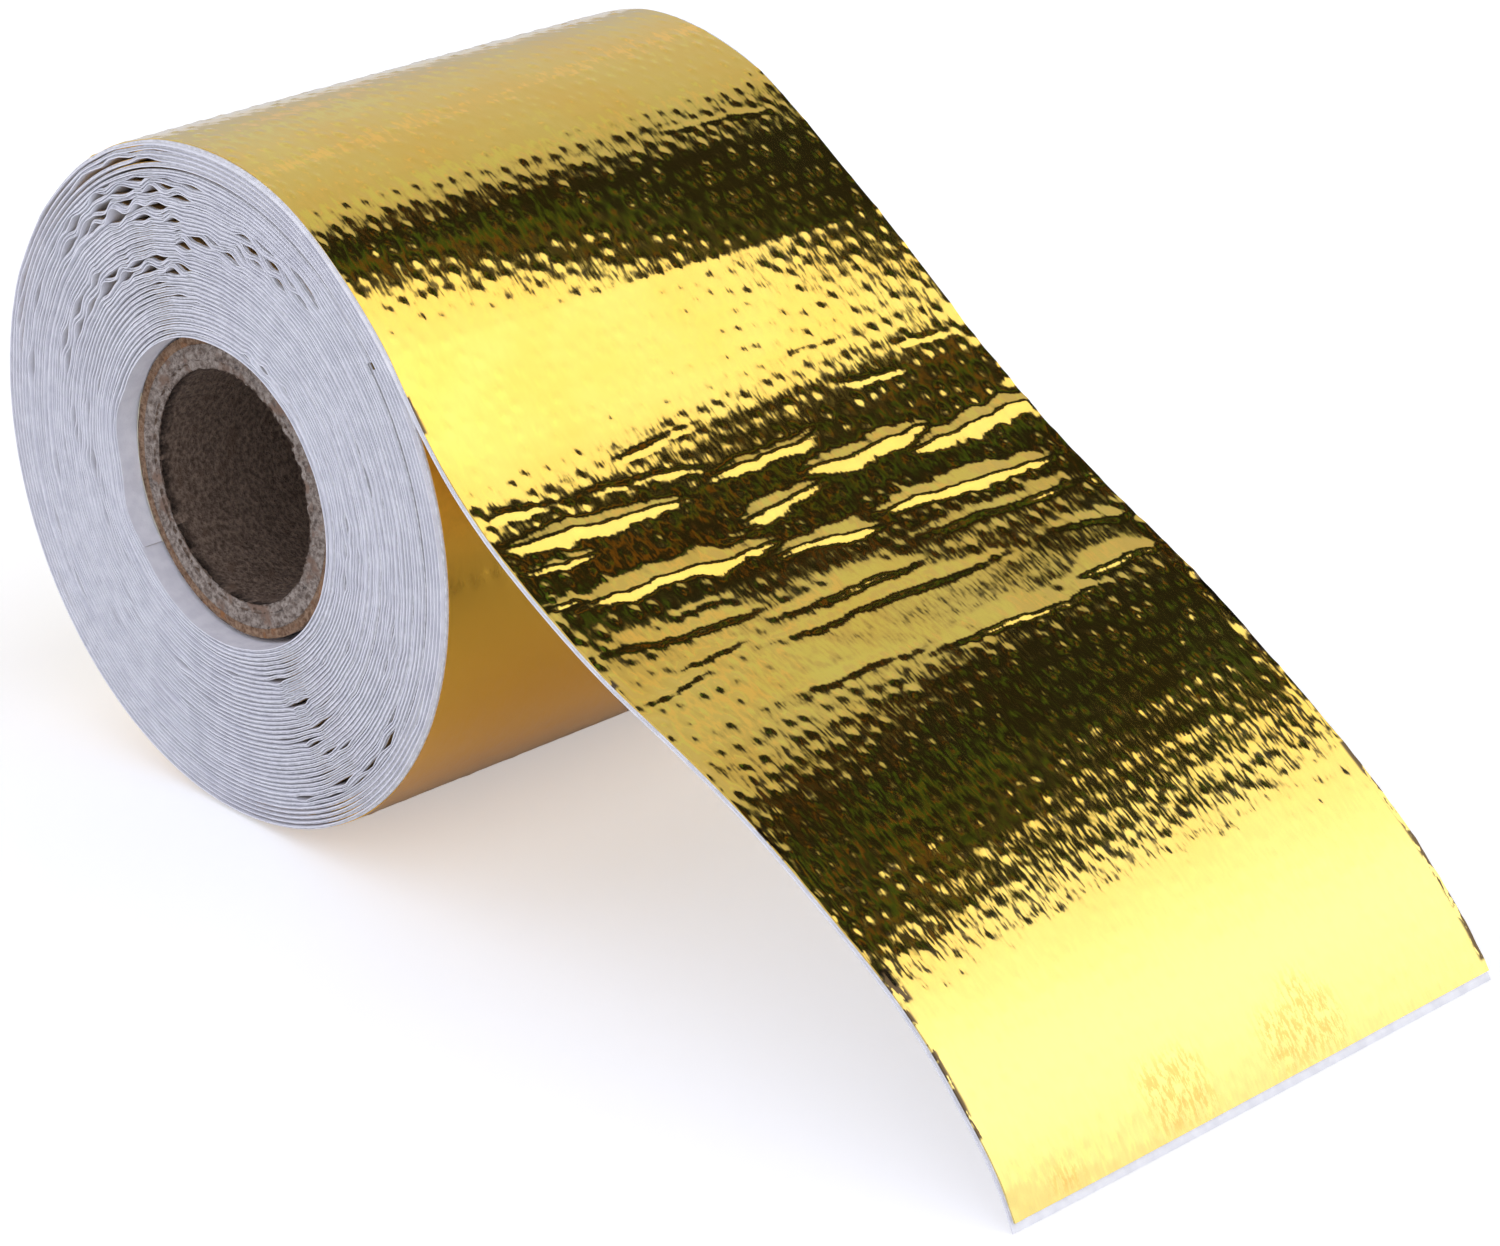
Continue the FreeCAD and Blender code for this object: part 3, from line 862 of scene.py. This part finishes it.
def make_tube(name, inner, outer, material, rough_in, rough_out, chip):
    """A board tube whose walls and cut rims are uneven."""
    angle = np.linspace(0, 2 * math.pi, 481)[None, :-1]
    lengths = np.linspace(CORE_BACK, CORE_FRONT, 40)[:, None]
    across_rim = np.array([0.1, 0.3, 0.5, 0.7, 0.9])[:, None]
    bands = []
    walls = ((inner, rough_in, 1, lengths), (outer, rough_out, -1, lengths[::-1]))
    for radius, rough, side, places in walls:
        u, v = radius * np.cos(angle), radius * np.sin(angle)
        bumps = value_noise(u / 0.9 + places / 1.1, v / 0.9 - places / 1.3, 71)
        bumps = bumps + 0.7 * value_noise(u / 0.3 + places / 0.5, v / 0.3, 72)
        cut = np.abs(places) > np.abs(places[1:-1]).max() + 0.1
        fray = chip * value_noise(u / 0.5 + 9, v / 0.5 + side, 73) * cut * np.sign(places)
        bands.append((radius + side * rough * 0.5 * (1 + 0.6 * bumps), places + fray))
    for index, (end, side) in enumerate(((CORE_FRONT, -1), (CORE_BACK, 1))):
        radius = inner + (outer - inner) * (across_rim if index == 0 else across_rim[::-1])
        u, v = radius * np.cos(angle), radius * np.sin(angle)
        pits = value_noise(u / 0.4, v / 0.4, 74) + 0.8 * value_noise(u / 0.16 + 5, v / 0.16, 75)
        bands.insert(2 * index + 1, (radius + 0 * angle, end - side * chip * (0.4 - 0.5 * pits)))
    shell = Shell()
    grids = [shell.grid(0.0 * r, y + 0 * r, r * np.cos(angle), r * np.sin(angle)) for r, y in bands]
    loop = np.concatenate([*grids, grids[0][:1]])
    shell.quads(np.concatenate([loop, loop[:, :1]], axis=1))
    piece = show(shell.mesh(name), material)
    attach(piece, "coil")
    return piece


def make_core():
    grey_rim = ((0.14, 0.1, 0.075), (0.46, 0.39, 0.33), (0.26, 0.17, 0.12))
    brown_rim = ((0.16, 0.08, 0.04), (0.4, 0.26, 0.16), (0.36, 0.16, 0.06))
    # The bore's wall colours are much darker than its rim's: painted shade deep in the bore.
    bore = board_material("painted_shade_bore_board", (0.075, 0.045, 0.028), (0.27, 0.19, 0.135), (0.13, 0.08, 0.05),
                          grey_rim)
    grey = board_material("grey_chipboard", (0.1, 0.075, 0.062), (0.4, 0.34, 0.29), (0.2, 0.13, 0.095),
                          grey_rim)
    brown = board_material("brown_outer_board", (0.16, 0.09, 0.05), (0.42, 0.3, 0.2), (0.3, 0.16, 0.08),
                           brown_rim)
    plies = [
        ("core_bore_wall", BORE_RADIUS, INNER_PLY_RADIUS, bore, 0.24, 0.0, 0.26, "core_inner_ply",
         "core_inner_board"),
        ("core_middle_wall", INNER_PLY_RADIUS, MIDDLE_PLY_RADIUS, grey, 0.0, 0.0, 0.26, "core_middle_ply",
         "core_board"),
        ("core_outer_wall", MIDDLE_PLY_RADIUS, CORE_RADIUS, brown, 0.0, 0.05, 0.2, "core_outer_ply",
         "core_board"),
    ]
    for name, inner, outer, material, rough_in, rough_out, chip, node, slot in plies:
        piece = make_tube(name, inner, outer, material, rough_in, rough_out, chip)
        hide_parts(node)
    glue, nodes = new_material("dried_glue")
    place = nodes.add("ShaderNodeTexCoord").outputs["Object"]
    colour = nodes.ramp(nodes.noise(place, 800.0, 3.0), [(0.3, (0.55, 0.48, 0.33)), (0.7, (0.7, 0.65, 0.5))])
    finish_material(nodes, nodes.add("ShaderNodeBsdfPrincipled", {"Base Color": colour, "Roughness": 0.4}))
    frame["nodes"]["core_glue_strip"].data.materials.clear()
    frame["nodes"]["core_glue_strip"].data.materials.append(glue)


# ---- Studio -------------------------------------------------------------------------------


def make_floor():
    """A wide pale surface under the roll."""
    half, steps = 4.0, 8
    places = np.linspace(-half, half, steps + 1)
    points = [(x, y, CAD_LOW.z) for x in places for y in places]
    faces = [(i * (steps + 1) + j, (i + 1) * (steps + 1) + j, (i + 1) * (steps + 1) + j + 1,
              i * (steps + 1) + j + 1) for i in range(steps) for j in range(steps)]
    mesh = bpy.data.meshes.new("studio_floor")
    mesh.from_pydata(points, [], faces)
    material, nodes = new_material("pale_floor")
    seen = nodes.add("ShaderNodeLightPath").outputs["Is Camera Ray"]
    glow = nodes.math("MULTIPLY", seen, 0.4)
    shader = nodes.add("ShaderNodeBsdfPrincipled",
                       {"Base Color": (0.8, 0.8, 0.8, 1), "Roughness": 0.8, "Specular IOR Level": 0.1,
                        "Emission Color": (1, 1, 1, 1), "Emission Strength": glow})
    finish_material(nodes, shader)
    show(mesh, material)


# Brightness of the studio by direction in the plane across the roll's axis, from +X upwards:
# a soft box ahead, a dark gap over it, and an even ceiling behind.
STUDIO = [(-180, 0.5), (-30, 0.9), (10, 1.0), (34, 1.35), (50, 1.5), (60, 1.35), (75.5, 1.2), (77.5, 0.02),
          (95.5, 0.012), (98, 0.52), (115, 0.58), (150, 0.62), (180, 0.5)]

# The same for the side that lights the near end of the roll, as a share of that light.
FRONT_PANEL = [(-180, 0.85), (-30, 1.0), (55, 1.0), (76, 0.95), (79, 0.12), (94, 0.12), (97, 0.8),
               (130, 0.95), (180, 0.85)]


def make_world():
    world = bpy.data.worlds.new("studio")
    world.use_nodes = True
    bpy.context.scene.world = world
    nodes = Nodes(world.node_tree)
    direction = nodes.add("ShaderNodeTexCoord").outputs["Generated"]
    x, y, z = nodes.add("ShaderNodeSeparateXYZ", {0: direction}).outputs
    angle = nodes.math("ARCTAN2", z, x)
    share = nodes.math("ADD", nodes.math("MULTIPLY", angle, 0.5 / math.pi), 0.5)
    stops = [(place / 360 + 0.5, (level, level, level)) for place, level in STUDIO]
    bands = nodes.ramp(share, stops, smooth=False)
    # Dim coloured things hang in the dark gap.
    green = nodes.fade(nodes.noise(direction, 9.0, 2.0), 0.56, 0.66)
    amber = nodes.fade(nodes.noise(nodes.stretched(direction, (1, 1, -1)), 11.0, 2.0), 0.62, 0.7)
    gap = nodes.mix(green, (0, 0, 0, 1), (0.05, 0.13, 0.02, 1))
    gap = nodes.mix(amber, gap, (0.17, 0.07, 0.01, 1))
    bands = nodes.mix(1.0, bands, gap, "ADD")
    front = nodes.fade(y, 0.25, -0.15)
    panel = nodes.ramp(share, [(place / 360 + 0.5, (level, level, level)) for place, level in FRONT_PANEL],
                       smooth=False)
    light = nodes.mix(front, bands, nodes.mix(1.0, panel, (1.18, 1.2, 1.36, 1), "MULTIPLY"))
    background = nodes.add("ShaderNodeBackground", {"Color": light, "Strength": 1.0})
    output = nodes.add("ShaderNodeOutputWorld")
    nodes.tree.links.new(background.outputs[0], output.inputs["Surface"])


# The camera looks along azimuth and elevation, in radians here, at a point that is offset across and
# up in its view.
CAMERA = {"azimuth": 0.7712, "elevation": 0.4255, "roll": 0.0057, "distance": 319.5,
          "across": 22.64, "up": -16.76, "lens": 96.32}


def make_camera():
    azimuth, elevation, roll = (CAMERA[key] for key in ("azimuth", "elevation", "roll"))
    forward = Vector((-math.cos(azimuth) * math.cos(elevation), math.sin(azimuth) * math.cos(elevation),
                      -math.sin(elevation)))
    level = forward.cross(Vector((0, 0, 1))).normalized()
    upright = level.cross(forward)
    right = math.cos(roll) * level + math.sin(roll) * upright
    up = -math.sin(roll) * level + math.cos(roll) * upright
    data = bpy.data.cameras.new("camera")
    data.lens = CAMERA["lens"]
    data.sensor_width = 36.0
    data.clip_start, data.clip_end = 0.01, 20
    camera = bpy.data.objects.new("camera", data)
    turn = Matrix((right, up, -forward)).transposed().to_4x4()
    place = level * CAMERA["across"] + upright * CAMERA["up"] - forward * CAMERA["distance"]
    camera.matrix_world = Matrix.Translation(place * MM) @ turn
    bpy.context.scene.collection.objects.link(camera)
    bpy.context.scene.camera = camera


def main():
    bpy.context.scene.view_settings.view_transform = "Standard"
    gold, cloth, adhesive, paper = gold_material(), cloth_material(), adhesive_material(), paper_material()
    make_outer_tape(gold, cloth, adhesive, paper)
    make_coil(wound_film_material(), cloth, adhesive, paper)
    make_core()
    make_floor()
    make_world()
    make_camera()


main()
